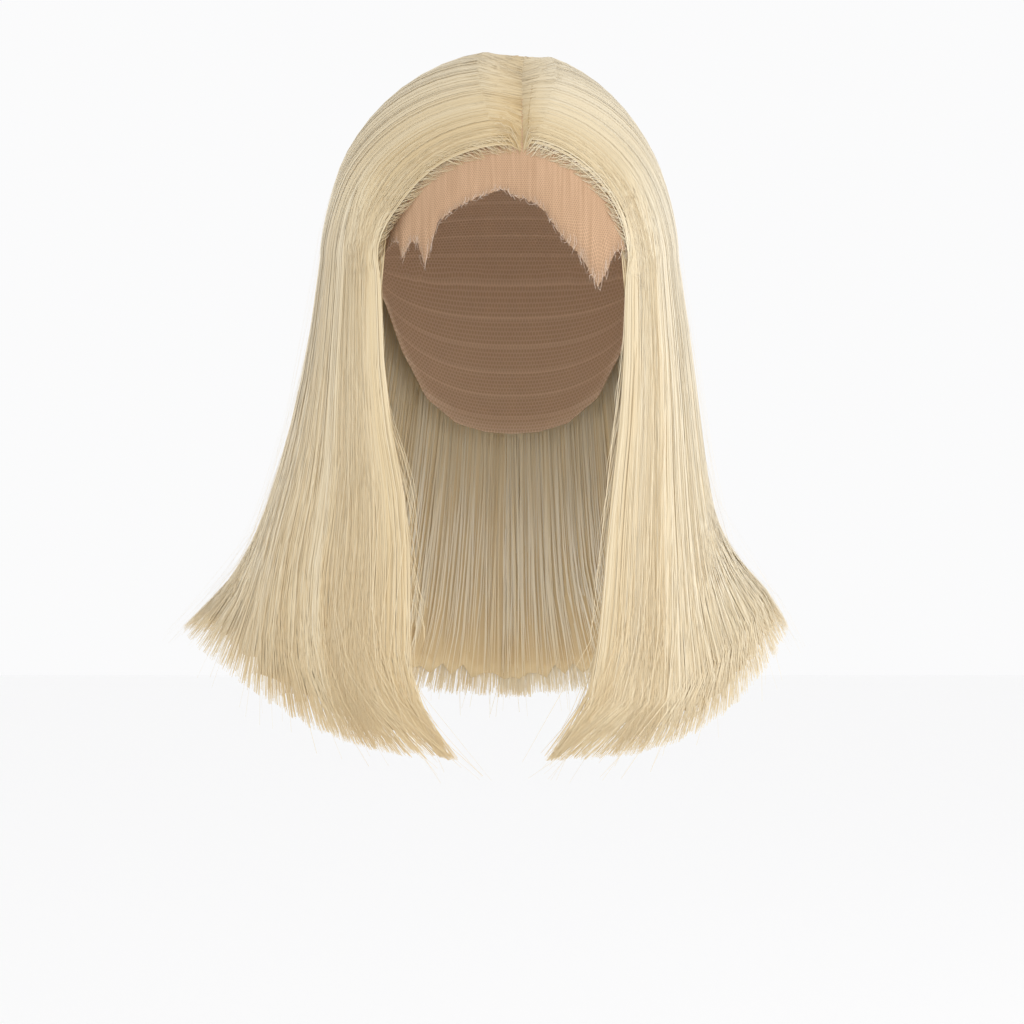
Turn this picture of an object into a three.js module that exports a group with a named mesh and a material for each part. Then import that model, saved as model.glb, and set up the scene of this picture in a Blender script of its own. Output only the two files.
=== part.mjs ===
// Lace-front bob wig in its worn form: a head-shaped base of lace and stretch net, and straight hair
// that falls from a part over the head, down past the face and over the shoulders.
// Millimetres, +Z up, the face looks along -Y. The origin is the inside of the base at the crown.
import * as THREE from "three";

// The head that the wig is made for.
const HEAD_HALF_BREADTH = 72;
const HEAD_HALF_LENGTH = 95;
const CROWN_HEIGHT = 95; // from the widest level of the head up to the crown
const NAPE_DEPTH = 150; // how slowly the head narrows below that level
const HEAD_FULLNESS = 2.4; // exponent of its outline, 2 would be an ellipse

// The base.
const BASE_WALL = 1.2;
const SEAM_GAP = 0.4; // between the lace and the net
const EAR_END = 0.995; // where both stop beside the ears, share of the half breadth

// The part and the hairline.
const PART_OFFSET = 4.7; // towards the wearer's left
const PART_GAP = 2; // strip of base that shows along the part
const HAIRLINE_DROP = 50; // from the crown down to the middle of the hairline
const PART_BACK_ANGLE = 20; // degrees past the crown where the part line ends
const ROOT_LIFT = 3.6; // height of the hair over the head at its roots
const PART_BAND = 11; // degrees over which it rises from there beside the part
const PART_FILL = { from: 0.5, to: 0.8 }; // share of a side over which that dip fills up at the crown
const EDGE_BAND = 0.2; // share of a side over which it rises behind the hairline
const LEFT_HAIRLINE_FULLNESS = 1.85; // exponent of the hairline's arch, 2 would be an ellipse
const RIGHT_HAIRLINE_FULLNESS = 1.6;

// The hair over the head.
const TOP_LIFT = 13.5;
const LEFT_FULLNESS = 2; // exponent of the hair's outline over the head
const RIGHT_FULLNESS = 1.92;
const LEFT_LIFT = 28; // at the widest level
const RIGHT_LIFT = 15;
const FRONT_LIFT = 11;
const BACK_LIFT = 17;
const CLEARANCE = 0.8; // between the base and the hair that lies on it

// The hanging hair.
const LEFT_EDGE_HALF_WIDTH = 66; // from the middle to the inner edge of a front curtain, beside the eye
const RIGHT_EDGE_HALF_WIDTH = 57;
const TEMPLE_DROP = 13; // how far under the widest level the hairline turns into the edge of a curtain
const FRONT_REACH = 66; // from the middle of the head forward to the front curtains
const FRONT_FALL = 252; // from the widest level down to the front tips
const LEFT_HEM_SQUARENESS = 2.1; // exponent of the rise of the hem from the front tips to the shoulder
const RIGHT_HEM_SQUARENESS = 3.2;
const SIDE_FALL = 189; // and down to the tips on the shoulders
const BACK_FALL = 232;
const HAIR_THICKNESS = 12;
const EDGE_THICKNESS = 5; // at the roots and at the inner edge of a front curtain
const TIP_THICKNESS = 3.5;
const LOCK_CROWN = 1.6; // how far the middle of a lock stands over its sides
const LOCK_NOTCH = 0.01; // how much shorter a lock is at its sides, share of its length
const LOCK_GAP = 0.8;
const LEAST_WALL = 1; // of the hair at its roots

// Where the hair changes along its length, as shares of the stretch named.
const HUG_END = { from: 0.5, to: 0.95 }; // over the head, where the front edge leaves the hairline
const SHELL_END = { from: 0.6, to: 1 }; // over the head, where it passes into the hanging rows
const CROWN_START = { from: 0.1, to: 0.35 }; // root to tip, where the locks part from each other
const THICK_START = { from: 0, to: 0.12 }; // root to tip, where the hair gets thick
const NOTCH_START = 0.7; // root to tip
const TAPER_START = 0.75; // root to tip

// The table of each side goes from the widest level down to the tips. Columns: fall, share of the way
// down; edge and side, half widths as shares of those at the first row; edge_front and side_front,
// shares of the front reach; back, share of the half length of the hair.
const LEFT_ROWS = [
  { fall: 0.0, edge: 1.0, side: 1.0, edge_front: 1.0, side_front: 0.0, back: 1.0 },
  { fall: 0.25, edge: 0.955, side: 1.07, edge_front: 1.04, side_front: -0.03, back: 1.02 },
  { fall: 0.5, edge: 0.8, side: 1.18, edge_front: 1.07, side_front: -0.05, back: 0.99 },
  { fall: 0.7, edge: 0.78, side: 1.3, edge_front: 1.12, side_front: -0.04, back: 0.95 },
  { fall: 0.82, edge: 0.78, side: 1.4, edge_front: 1.17, side_front: 0.0, back: 0.92 },
  { fall: 0.91, edge: 0.66, side: 1.52, edge_front: 1.23, side_front: 0.06, back: 0.9 },
  { fall: 1.0, edge: 0.42, side: 1.7, edge_front: 1.3, side_front: 0.14, back: 0.88 },
];
const RIGHT_ROWS = [
  { fall: 0.0, edge: 1.0, side: 1.0, edge_front: 1.0, side_front: 0.0, back: 1.0 },
  { fall: 0.25, edge: 0.97, side: 1.08, edge_front: 1.04, side_front: -0.03, back: 1.02 },
  { fall: 0.5, edge: 0.86, side: 1.15, edge_front: 1.07, side_front: -0.05, back: 0.99 },
  { fall: 0.7, edge: 0.79, side: 1.22, edge_front: 1.12, side_front: -0.04, back: 0.95 },
  { fall: 0.82, edge: 0.72, side: 1.34, edge_front: 1.17, side_front: 0.0, back: 0.92 },
  { fall: 0.91, edge: 0.61, side: 1.54, edge_front: 1.23, side_front: 0.06, back: 0.9 },
  { fall: 1.0, edge: 0.28, side: 1.65, edge_front: 1.3, side_front: 0.14, back: 0.88 },
];

// Edges of the base. Columns: across, share of the head's half breadth; down, share of the crown height
// below the crown. The lace is cut unevenly, with two tails on the left and one on the right.
const LACE_EDGE = [
  { across: -EAR_END, down: 1.09 },
  { across: -0.93, down: 1.06 },
  { across: -0.84, down: 0.98 },
  { across: -0.78, down: 0.96 },
  { across: -0.75, down: 1.06 },
  { across: -0.69, down: 0.97 },
  { across: -0.64, down: 0.98 },
  { across: -0.59, down: 1.1 },
  { across: -0.5, down: 0.88 },
  { across: -0.38, down: 0.81 },
  { across: -0.25, down: 0.765 },
  { across: -0.07, down: 0.715 },
  { across: 0.035, down: 0.76 },
  { across: 0.16, down: 0.79 },
  { across: 0.23, down: 0.84 },
  { across: 0.36, down: 0.985 },
  { across: 0.47, down: 1.06 },
  { across: 0.58, down: 1.21 },
  { across: 0.65, down: 1.12 },
  { across: 0.7, down: 1.02 },
  { across: 0.8, down: 1.0 },
  { across: 0.9, down: 1.06 },
  { across: EAR_END, down: 1.09 },
];
const NAPE_EDGE = [
  { across: -EAR_END, down: 1.09 },
  { across: -0.93, down: 1.2 },
  { across: -0.82, down: 1.45 },
  { across: -0.64, down: 1.72 },
  { across: -0.42, down: 1.86 },
  { across: -0.2, down: 1.91 },
  { across: 0, down: 1.92 },
  { across: 0.2, down: 1.91 },
  { across: 0.42, down: 1.86 },
  { across: 0.64, down: 1.72 },
  { across: 0.82, down: 1.45 },
  { across: 0.93, down: 1.2 },
  { across: EAR_END, down: 1.09 },
];

// How far round a side the widest column lies, and where its locks begin and end: 0 is the front edge,
// 1 the middle of the back.
const SIDE_SHARE = 0.42;
const LOCKS = [
  { name: "front", from: 0, to: 0.17 },
  { name: "temple", from: 0.17, to: 0.36 },
  { name: "side", from: 0.36, to: 0.56 },
  { name: "rear", from: 0.56, to: 0.78 },
  { name: "back", from: 0.78, to: 1 },
];

// Steps of the meshes and of the measures taken on them.
const HEAD_SHARE = 0.4; // share of a column that lies over the head
const HEAD_STEPS = 10;
const HANG_STEPS = 12;
const LOCK_STEPS = 8;
const BASE_STEPS = 9;
const NORMAL_STEP = 0.004;
const DEPTH_STEP = 0.25;

const HEAD_MIDDLE = new THREE.Vector3(0, 0, -CROWN_HEIGHT);
const LEFT = {
  name: "left",
  sign: -1,
  rows: LEFT_ROWS,
  edgeHalfWidth: LEFT_EDGE_HALF_WIDTH,
  hairlineFullness: LEFT_HAIRLINE_FULLNESS,
  fullness: LEFT_FULLNESS,
  hemSquareness: LEFT_HEM_SQUARENESS,
  sideHalfWidth: HEAD_HALF_BREADTH + LEFT_LIFT,
};
const RIGHT = {
  name: "right",
  sign: 1,
  rows: RIGHT_ROWS,
  edgeHalfWidth: RIGHT_EDGE_HALF_WIDTH,
  hairlineFullness: RIGHT_HAIRLINE_FULLNESS,
  fullness: RIGHT_FULLNESS,
  hemSquareness: RIGHT_HEM_SQUARENESS,
  sideHalfWidth: HEAD_HALF_BREADTH + RIGHT_LIFT,
};
const RIGHT_ANGLE = Math.PI / 2;

function mix(a, b, share) {
  return a + (b - a) * share;
}

function clamp01(value) {
  return Math.min(Math.max(value, 0), 1);
}

function smooth({ from, to }, value) {
  const share = clamp01((value - from) / (to - from));
  return share * share * (3 - 2 * share);
}

function signedPower(value, exponent) {
  return Math.sign(value) * Math.abs(value) ** exponent;
}

// A smooth curve through one column of a table, read at a share of its key column.
function readTable(rows, key, column, at) {
  let i = 0;
  while (i < rows.length - 2 && rows[i + 1][key] < at) {
    i += 1;
  }
  const slope = (k) => {
    const before = rows[Math.max(k - 1, 0)];
    const after = rows[Math.min(k + 1, rows.length - 1)];
    return (after[column] - before[column]) / (after[key] - before[key]);
  };
  const span = rows[i + 1][key] - rows[i][key];
  const s = clamp01((at - rows[i][key]) / span);
  const rise = rows[i + 1][column] - rows[i][column];
  const start = slope(i) * span;
  const end = slope(i + 1) * span;
  return rows[i][column] + s * (start + s * (3 * rise - 2 * start - end + s * (start + end - 2 * rise)));
}

// Distance from the middle of the head to its surface in a direction.
function headRadius(direction) {
  const depth = direction.z > 0 ? CROWN_HEIGHT : NAPE_DEPTH;
  const sum =
    Math.abs(direction.x / HEAD_HALF_BREADTH) ** HEAD_FULLNESS +
    Math.abs(direction.y / HEAD_HALF_LENGTH) ** HEAD_FULLNESS +
    Math.abs(direction.z / depth) ** HEAD_FULLNESS;
  return sum ** (-1 / HEAD_FULLNESS);
}

// The same for the outside of the hair over the head, before it dips to the part and the hairline.
function hairRadius(side, direction) {
  const lift = direction.y > 0 ? BACK_LIFT : FRONT_LIFT;
  const across = direction.x / side.sideHalfWidth;
  const along = direction.y / (HEAD_HALF_LENGTH + lift);
  const up = direction.z / (CROWN_HEIGHT + TOP_LIFT);
  const sum = [across, along, up].reduce((total, share) => total + Math.abs(share) ** side.fullness, 0);
  return sum ** (-1 / side.fullness);
}

// Angle of a point on the head's outline from the crown, from its height over the middle.
function outlineAngle(height) {
  return Math.acos(signedPower(height, HEAD_FULLNESS / 2));
}

// One row across a side of the hair, from the front edge round to the middle of the back.
function rowPoint(side, fall, round) {
  const value = (column) => readTable(side.rows, "fall", column, fall);
  const edge = value("edge") * side.edgeHalfWidth;
  const wide = value("side") * side.sideHalfWidth;
  const middle = -value("side_front") * FRONT_REACH;
  if (round < SIDE_SHARE) {
    const angle = (round / SIDE_SHARE) * RIGHT_ANGLE;
    const rise = Math.sin(angle) ** mix(2, side.hemSquareness, fall);
    return new THREE.Vector3(
      side.sign * mix(edge, wide, Math.sin(angle)),
      mix(middle, -value("edge_front") * FRONT_REACH, Math.cos(angle)),
      HEAD_MIDDLE.z - mix(mix(TEMPLE_DROP, FRONT_FALL, fall), fall * SIDE_FALL, rise),
    );
  }
  const angle = ((round - SIDE_SHARE) / (1 - SIDE_SHARE)) * RIGHT_ANGLE;
  return new THREE.Vector3(
    side.sign * mix(PART_GAP / 2, wide, Math.cos(angle)),
    mix(middle, value("back") * (HEAD_HALF_LENGTH + BACK_LIFT), Math.sin(angle)),
    HEAD_MIDDLE.z - fall * mix(SIDE_FALL, BACK_FALL, Math.sin(angle) ** 2),
  );
}

// Where a column of hair starts on the part line.
function rootPoint(side, round) {
  const front = outlineAngle((CROWN_HEIGHT - HAIRLINE_DROP) / CROWN_HEIGHT);
  const angle = mix(-front, THREE.MathUtils.degToRad(PART_BACK_ANGLE), round);
  const power = 2 / HEAD_FULLNESS;
  return new THREE.Vector3(
    PART_OFFSET + (side.sign * PART_GAP) / 2,
    HEAD_HALF_LENGTH * signedPower(Math.sin(angle), power),
    HEAD_MIDDLE.z + CROWN_HEIGHT * signedPower(Math.cos(angle), power),
  );
}

// The outside of the hair over the head. Angle 0 is the part, a right angle the widest level.
function overHead(side, round, angle) {
  const root = rootPoint(side, round);
  const wide = rowPoint(side, 0, round);
  const power = 2 / mix(side.hairlineFullness, 2, smooth({ from: 0, to: SIDE_SHARE }, round));
  const out = Math.sin(angle) ** power;
  const up = Math.cos(angle) ** power;
  const back = mix(Math.sin(angle) ** 2, Math.sin(angle), smooth({ from: 0, to: 1 }, round));
  const way = new THREE.Vector3(
    mix(root.x, wide.x, out),
    mix(root.y, wide.y, back),
    mix(wide.z, root.z, up),
  ).sub(HEAD_MIDDLE);
  const length = way.length();
  way.divideScalar(length);
  const partBand = THREE.MathUtils.degToRad(PART_BAND);
  const nearPart = (1 - smooth({ from: 0, to: partBand }, angle)) * (1 - smooth(PART_FILL, round));
  const hugs = 1 - smooth(HUG_END, angle / RIGHT_ANGLE);
  const nearEdge = hugs * (1 - smooth({ from: 0, to: EDGE_BAND }, round));
  const rooted = headRadius(way) + ROOT_LIFT;
  const full = mix(hairRadius(side, way), rooted, Math.max(nearPart, nearEdge));
  const radius = mix(full, length, smooth(SHELL_END, angle / RIGHT_ANGLE));
  return way.multiplyScalar(radius).add(HEAD_MIDDLE);
}

// The outside of one side of the hair. along is 0 at the part and 1 at the tips.
function hairSurface(side, round, along) {
  if (along < HEAD_SHARE) {
    return overHead(side, round, (along / HEAD_SHARE) * RIGHT_ANGLE);
  }
  return rowPoint(side, (along - HEAD_SHARE) / (1 - HEAD_SHARE), round);
}

function outwardNormal(side, round, along) {
  const before = Math.max(round - NORMAL_STEP, 0);
  const after = Math.min(round + NORMAL_STEP, 1);
  const above = Math.max(along - NORMAL_STEP, 0);
  const below = Math.min(along + NORMAL_STEP, 1);
  const across = hairSurface(side, after, along).sub(hairSurface(side, before, along));
  const down = hairSurface(side, round, below).sub(hairSurface(side, round, above));
  return down.cross(across).multiplyScalar(side.sign).normalize();
}

// Room between the hair's outside and the base, measured inwards along the normal.
function roomInside(point, normal) {
  const wall = BASE_WALL + CLEARANCE;
  for (let depth = 0; depth < HAIR_THICKNESS; depth += DEPTH_STEP) {
    const from = point.clone().addScaledVector(normal, -depth).sub(HEAD_MIDDLE);
    const length = from.length();
    if (length < headRadius(from.divideScalar(length)) + wall) {
      return depth - DEPTH_STEP;
    }
  }
  return HAIR_THICKNESS;
}

// One lock: a wall between the outside of the hair and a surface inside it, crowned across its width.
function lockGeometry(side, lock) {
  const alongs = [];
  for (let i = 0; i < HEAD_STEPS; i += 1) {
    alongs.push((i / HEAD_STEPS) * HEAD_SHARE);
  }
  for (let i = 0; i <= HANG_STEPS; i += 1) {
    alongs.push(mix(HEAD_SHARE, 1, i / HANG_STEPS));
  }
  const outer = [];
  const inner = [];
  for (const at of alongs) {
    const outerRow = [];
    const innerRow = [];
    const width = hairSurface(side, lock.from, at).distanceTo(hairSurface(side, lock.to, at));
    const trim = ((LOCK_GAP / 2) * (lock.to - lock.from)) / width;
    for (let k = 0; k <= LOCK_STEPS; k += 1) {
      const v = k / LOCK_STEPS;
      const round = mix(lock.from + trim, lock.to - trim, v);
      const bulge = Math.sin(Math.PI * v);
      const notch = LOCK_NOTCH * (1 - bulge) * smooth({ from: NOTCH_START, to: 1 }, at);
      const along = at * (1 - notch);
      const point = hairSurface(side, round, along);
      const normal = outwardNormal(side, round, along);
      const rise = LOCK_CROWN * (bulge - 1) * smooth(CROWN_START, along);
      const thick = smooth({ from: 0, to: EDGE_BAND / 2 }, round) * smooth(THICK_START, along);
      const nominal = mix(EDGE_THICKNESS, HAIR_THICKNESS, thick);
      const thickness = mix(nominal, TIP_THICKNESS, smooth({ from: TAPER_START, to: 1 }, along));
      const depth = Math.min(thickness, roomInside(point, normal));
      outerRow.push(point.clone().addScaledVector(normal, Math.max(rise, LEAST_WALL - depth)));
      innerRow.push(point.clone().addScaledVector(normal, -depth));
    }
    outer.push(outerRow);
    inner.push(innerRow);
  }
  return wallGeometry(outer, inner);
}

// A closed wall between two grids of points with the same rows and columns.
function wallGeometry(outer, inner) {
  const rows = outer.length;
  const columns = outer[0].length;
  const points = [...outer.flat(), ...inner.flat()];
  const outside = (r, c) => r * columns + c;
  const inside = (r, c) => rows * columns + r * columns + c;
  const triangles = [];
  const quad = (a, b, c, d) => triangles.push([a, b, c], [a, c, d]);
  for (let r = 0; r < rows - 1; r += 1) {
    for (let c = 0; c < columns - 1; c += 1) {
      quad(outside(r, c), outside(r + 1, c), outside(r + 1, c + 1), outside(r, c + 1));
      quad(inside(r, c), inside(r, c + 1), inside(r + 1, c + 1), inside(r + 1, c));
    }
    quad(outside(r, 0), inside(r, 0), inside(r + 1, 0), outside(r + 1, 0));
    const last = columns - 1;
    quad(outside(r, last), outside(r + 1, last), inside(r + 1, last), inside(r, last));
  }
  for (let c = 0; c < columns - 1; c += 1) {
    const last = rows - 1;
    quad(outside(0, c), outside(0, c + 1), inside(0, c + 1), inside(0, c));
    quad(outside(last, c), inside(last, c), inside(last, c + 1), outside(last, c + 1));
  }
  let volume = 0;
  for (const [a, b, c] of triangles) {
    volume += points[a].dot(points[b].clone().cross(points[c]));
  }
  const turned = volume < 0 ? triangles.map(([a, b, c]) => [a, c, b]) : triangles;
  const geometry = new THREE.BufferGeometry();
  const places = points.flatMap((p) => [p.x, p.y, p.z]);
  geometry.setAttribute("position", new THREE.Float32BufferAttribute(places, 3));
  geometry.setIndex(turned.flat());
  geometry.computeVertexNormals();
  return geometry;
}

// A wall of the base that lies on the head, from the seam over the crown to one of its edges.
// direction is -1 towards the face and 1 towards the nape.
function baseGeometry(edge, direction) {
  const power = 2 / HEAD_FULLNESS;
  const outer = [];
  const inner = [];
  for (const { across, down } of edge) {
    const slice = (1 - Math.abs(across) ** HEAD_FULLNESS) ** (1 / HEAD_FULLNESS);
    const height = CROWN_HEIGHT * (1 - down);
    const depth = height > 0 ? CROWN_HEIGHT : NAPE_DEPTH;
    const start = Math.asin(signedPower(SEAM_GAP / 2 / (HEAD_HALF_LENGTH * slice), 1 / power));
    const end = outlineAngle(height / (depth * slice));
    const outerRow = [];
    const innerRow = [];
    for (let i = 0; i <= BASE_STEPS; i += 1) {
      const angle = mix(start, end, i / BASE_STEPS);
      const up = signedPower(Math.cos(angle), power);
      const way = new THREE.Vector3(
        HEAD_HALF_BREADTH * across,
        direction * HEAD_HALF_LENGTH * slice * signedPower(Math.sin(angle), power),
        (up > 0 ? CROWN_HEIGHT : NAPE_DEPTH) * slice * up,
      );
      const length = way.length();
      innerRow.push(way.clone().add(HEAD_MIDDLE));
      outerRow.push(way.multiplyScalar(1 + BASE_WALL / length).add(HEAD_MIDDLE));
    }
    outer.push(outerRow);
    inner.push(innerRow);
  }
  return wallGeometry(outer, inner);
}

function material(colour, roughness) {
  return new THREE.MeshStandardMaterial({ color: colour, roughness, metalness: 0 });
}

function piece(name, geometry, look) {
  const mesh = new THREE.Mesh(geometry, look);
  mesh.name = name;
  return mesh;
}

const wig = new THREE.Group();
wig.add(piece("lace_front", baseGeometry(LACE_EDGE, -1), material("#c39a74", 0.8)));
wig.add(piece("cap", baseGeometry(NAPE_EDGE, 1), material("#b08a63", 0.85)));
const lockColours = ["#e6d3a6", "#ead9b2", "#e3d0a4", "#e8d7b0", "#e2cf9f"];
for (const side of [LEFT, RIGHT]) {
  LOCKS.forEach((lock, i) => {
    const look = material(lockColours[i], 0.5);
    wig.add(piece(`hair_${side.name}_${lock.name}`, lockGeometry(side, lock), look));
  });
}

export default wig;
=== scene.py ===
# %% [markdown]
# # A lace-front bob wig
# The wig keeps the form that it has when worn. Its base is half sheer lace and half stretch net, and
# the hair is thousands of straight strands that leave a part, lie over the head and hang to a blunt hem.
# Hair could be Blender's own curves, but those are not meshes and would be lost in an export. Here every
# strand is a thin closed ribbon, laid by Geometry Nodes on a sheet that shows which way the hair flows.

# %% Load the frame
import math

import bpy
import numpy as np
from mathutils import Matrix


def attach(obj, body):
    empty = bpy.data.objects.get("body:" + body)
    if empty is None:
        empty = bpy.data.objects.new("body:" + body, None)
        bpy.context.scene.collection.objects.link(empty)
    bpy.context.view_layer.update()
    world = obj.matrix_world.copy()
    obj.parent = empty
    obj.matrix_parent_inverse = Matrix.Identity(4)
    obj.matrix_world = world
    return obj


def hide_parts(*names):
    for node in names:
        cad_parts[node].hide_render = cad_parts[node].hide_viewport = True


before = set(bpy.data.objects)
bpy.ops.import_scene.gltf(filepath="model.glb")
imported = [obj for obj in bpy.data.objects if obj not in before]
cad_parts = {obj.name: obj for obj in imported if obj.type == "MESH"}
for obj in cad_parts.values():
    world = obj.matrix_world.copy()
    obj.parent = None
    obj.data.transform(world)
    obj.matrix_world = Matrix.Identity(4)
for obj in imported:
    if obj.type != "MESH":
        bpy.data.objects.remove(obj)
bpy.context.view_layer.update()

# %% [markdown]
# ## The camera
# The photo looks straight at the face from about 1.65 metres away. Half the width of the picture
# is 266 mm at the depth of the ears, and its middle lies at the level of the chin. A long lens from that
# distance gives the same perspective, so the outline can be compared with the photo directly.

# %% Camera
MM = 0.001
CAMERA_DISTANCE = 1.65
CAMERA_HEIGHT = -0.226
PICTURE_WIDTH = 0.5325
SENSOR_WIDTH = 36.0

camera_data = bpy.data.cameras.new("camera")
camera_data.sensor_width = SENSOR_WIDTH
camera_data.lens = SENSOR_WIDTH * CAMERA_DISTANCE / PICTURE_WIDTH
camera = bpy.data.objects.new("camera", camera_data)
camera.location = (0, -CAMERA_DISTANCE, CAMERA_HEIGHT)
camera.rotation_euler = (math.radians(90), 0, 0)
bpy.context.scene.collection.objects.link(camera)
bpy.context.scene.camera = camera
print("lens", round(camera_data.lens, 1), "mm")

# %% [markdown]
# ## The shape of the head and of the hair
# Everything follows two forms: the head, which is a rounded box between an ellipsoid and a cube, and the
# outside of the hair. They repeat the sizes of the solids, in millimetres. A place on the hair has two
# coordinates: round, from 0 at the front edge of a side to 1 at the middle of the back, and along, from 0
# at the part to 1 at the tips. A strand keeps its round and runs through along, so it follows the flow.

# %% Sizes of the head and the hair, in millimetres
HEAD_HALF_BREADTH = 72.0
HEAD_HALF_LENGTH = 95.0
CROWN_HEIGHT = 95.0
NAPE_DEPTH = 150.0
HEAD_FULLNESS = 2.4
HEAD_MIDDLE = np.array([0.0, 0.0, -CROWN_HEIGHT])
BASE_WALL = 1.2

PART_OFFSET = 4.7
PART_GAP = 2.0
CROWN_OVERLAP = 3.0
CROWN_FULLNESS = 2.0
HAIRLINE_DROP = 50.0
PART_BACK_ANGLE = 20.0
ROOT_LIFT = 3.6
PART_BAND = 11.0
PART_FILL = (0.5, 0.8)
EDGE_BAND = 0.2

TOP_LIFT = 13.5
FRONT_LIFT = 11.0
BACK_LIFT = 17.0
FRONT_REACH = 66.0
TEMPLE_DROP = 13.0
FRONT_FALL = 252.0
SIDE_FALL = 189.0
BACK_FALL = 232.0
SIDE_SHARE = 0.42
HEAD_SHARE = 0.4

# Columns: fall, edge, side, edge front, side front, back.
LEFT_ROWS = np.array(
    [
        [0.0, 1.0, 1.0, 1.0, 0.0, 1.0],
        [0.25, 0.955, 1.07, 1.04, -0.03, 1.02],
        [0.5, 0.8, 1.18, 1.07, -0.05, 0.99],
        [0.7, 0.78, 1.3, 1.12, -0.04, 0.95],
        [0.82, 0.78, 1.4, 1.17, 0.0, 0.92],
        [0.91, 0.66, 1.52, 1.23, 0.06, 0.9],
        [1.0, 0.42, 1.7, 1.3, 0.14, 0.88],
    ]
)
RIGHT_ROWS = np.array(
    [
        [0.0, 1.0, 1.0, 1.0, 0.0, 1.0],
        [0.25, 0.97, 1.08, 1.04, -0.03, 1.02],
        [0.5, 0.86, 1.15, 1.07, -0.05, 0.99],
        [0.7, 0.79, 1.22, 1.12, -0.04, 0.95],
        [0.82, 0.72, 1.34, 1.17, 0.0, 0.92],
        [0.91, 0.61, 1.54, 1.23, 0.06, 0.9],
        [1.0, 0.28, 1.65, 1.3, 0.14, 0.88],
    ]
)
SIDES = {
    "left": {
        "sign": -1,
        "rows": LEFT_ROWS,
        "edge": 66.0,
        "fullness": 2.0,
        "wide": HEAD_HALF_BREADTH + 28.0,
        "hairline_fullness": 1.85,
        "hem_squareness": 2.1,
    },
    "right": {
        "sign": 1,
        "rows": RIGHT_ROWS,
        "edge": 57.0,
        "fullness": 1.92,
        "wide": HEAD_HALF_BREADTH + 15.0,
        "hairline_fullness": 1.6,
        "hem_squareness": 3.2,
    },
}
LOCKS = {
    "front": (0.0, 0.17),
    "temple": (0.17, 0.36),
    "side": (0.36, 0.56),
    "rear": (0.56, 0.78),
    "back": (0.78, 1.02),
}
print("head", 2 * HEAD_HALF_BREADTH, "by", 2 * HEAD_HALF_LENGTH, "mm, locks", list(LOCKS))

# %% Curves and fades that the forms are made of


def mix(a, b, share):
    return a + (b - a) * share


def smooth(low, high, value):
    """0 up to low, 1 from high on, and smooth between them."""
    share = np.clip((value - low) / (high - low), 0.0, 1.0)
    return share * share * (3.0 - 2.0 * share)


def signed_power(value, exponent):
    return np.sign(value) * np.abs(value) ** exponent


def read_rows(rows, column, fall):
    """A smooth curve through one column of a table, straight on past its last row."""
    keys = rows[:, 0]
    values = rows[:, column]
    slopes = np.empty(len(keys))
    slopes[1:-1] = (values[2:] - values[:-2]) / (keys[2:] - keys[:-2])
    slopes[0] = (values[1] - values[0]) / (keys[1] - keys[0])
    slopes[-1] = (values[-1] - values[-2]) / (keys[-1] - keys[-2])
    i = np.clip(np.searchsorted(keys, fall, side="right") - 1, 0, len(keys) - 2)
    span = keys[i + 1] - keys[i]
    s = np.clip((fall - keys[i]) / span, 0.0, 1.0)
    rise = values[i + 1] - values[i]
    start = slopes[i] * span
    end = slopes[i + 1] * span
    inside = values[i] + s * (start + s * (3 * rise - 2 * start - end + s * (start + end - 2 * rise)))
    return inside + slopes[-1] * np.maximum(fall - 1.0, 0.0)


# %% The head and the outside of the hair


def head_radius(way):
    """Distance from the middle of the head to its surface, along unit vectors."""
    depth = np.where(way[..., 2] > 0, CROWN_HEIGHT, NAPE_DEPTH)
    total = np.abs(way[..., 0] / HEAD_HALF_BREADTH) ** HEAD_FULLNESS
    total += np.abs(way[..., 1] / HEAD_HALF_LENGTH) ** HEAD_FULLNESS
    total += np.abs(way[..., 2] / depth) ** HEAD_FULLNESS
    return total ** (-1 / HEAD_FULLNESS)


def hair_radius(side, way, around):
    """Distance from the middle of the head to the hair, the same for both sides at the back."""
    lift = np.where(way[..., 1] > 0, BACK_LIFT, FRONT_LIFT)
    fullness = mix(side["fullness"], CROWN_FULLNESS, smooth(0.7, 1.0, around))
    total = np.abs(way[..., 0] / side["wide"]) ** fullness
    total += np.abs(way[..., 1] / (HEAD_HALF_LENGTH + lift)) ** fullness
    total += np.abs(way[..., 2] / (CROWN_HEIGHT + TOP_LIFT)) ** fullness
    return total ** (-1 / fullness)


def row_points(side, fall, around):
    """Points of the hanging hair. fall is 0 at the widest level and 1 at the tips."""
    edge = read_rows(side["rows"], 1, fall) * side["edge"]
    wide = read_rows(side["rows"], 2, fall) * side["wide"]
    edge_front = -read_rows(side["rows"], 3, fall) * FRONT_REACH
    middle = -read_rows(side["rows"], 4, fall) * FRONT_REACH
    back = read_rows(side["rows"], 5, fall) * (HEAD_HALF_LENGTH + BACK_LIFT)
    front_turn = around / SIDE_SHARE * math.pi / 2
    back_turn = (around - SIDE_SHARE) / (1 - SIDE_SHARE) * math.pi / 2
    side_drop = fall * SIDE_FALL
    rise = np.maximum(np.sin(front_turn), 0.0) ** mix(2.0, side["hem_squareness"], fall)
    front = np.stack(
        [
            side["sign"] * mix(edge, wide, np.sin(front_turn)),
            mix(middle, edge_front, np.cos(front_turn)),
            -CROWN_HEIGHT - mix(mix(TEMPLE_DROP, FRONT_FALL, fall), side_drop, rise),
        ],
        -1,
    )
    rear = np.stack(
        [
            side["sign"] * mix(PART_GAP / 2, wide, np.cos(back_turn)),
            mix(middle, back, np.sin(back_turn)),
            -CROWN_HEIGHT - mix(side_drop, fall * BACK_FALL, np.sin(back_turn) ** 2),
        ],
        -1,
    )
    return np.where((around < SIDE_SHARE)[..., None], front, rear)


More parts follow.
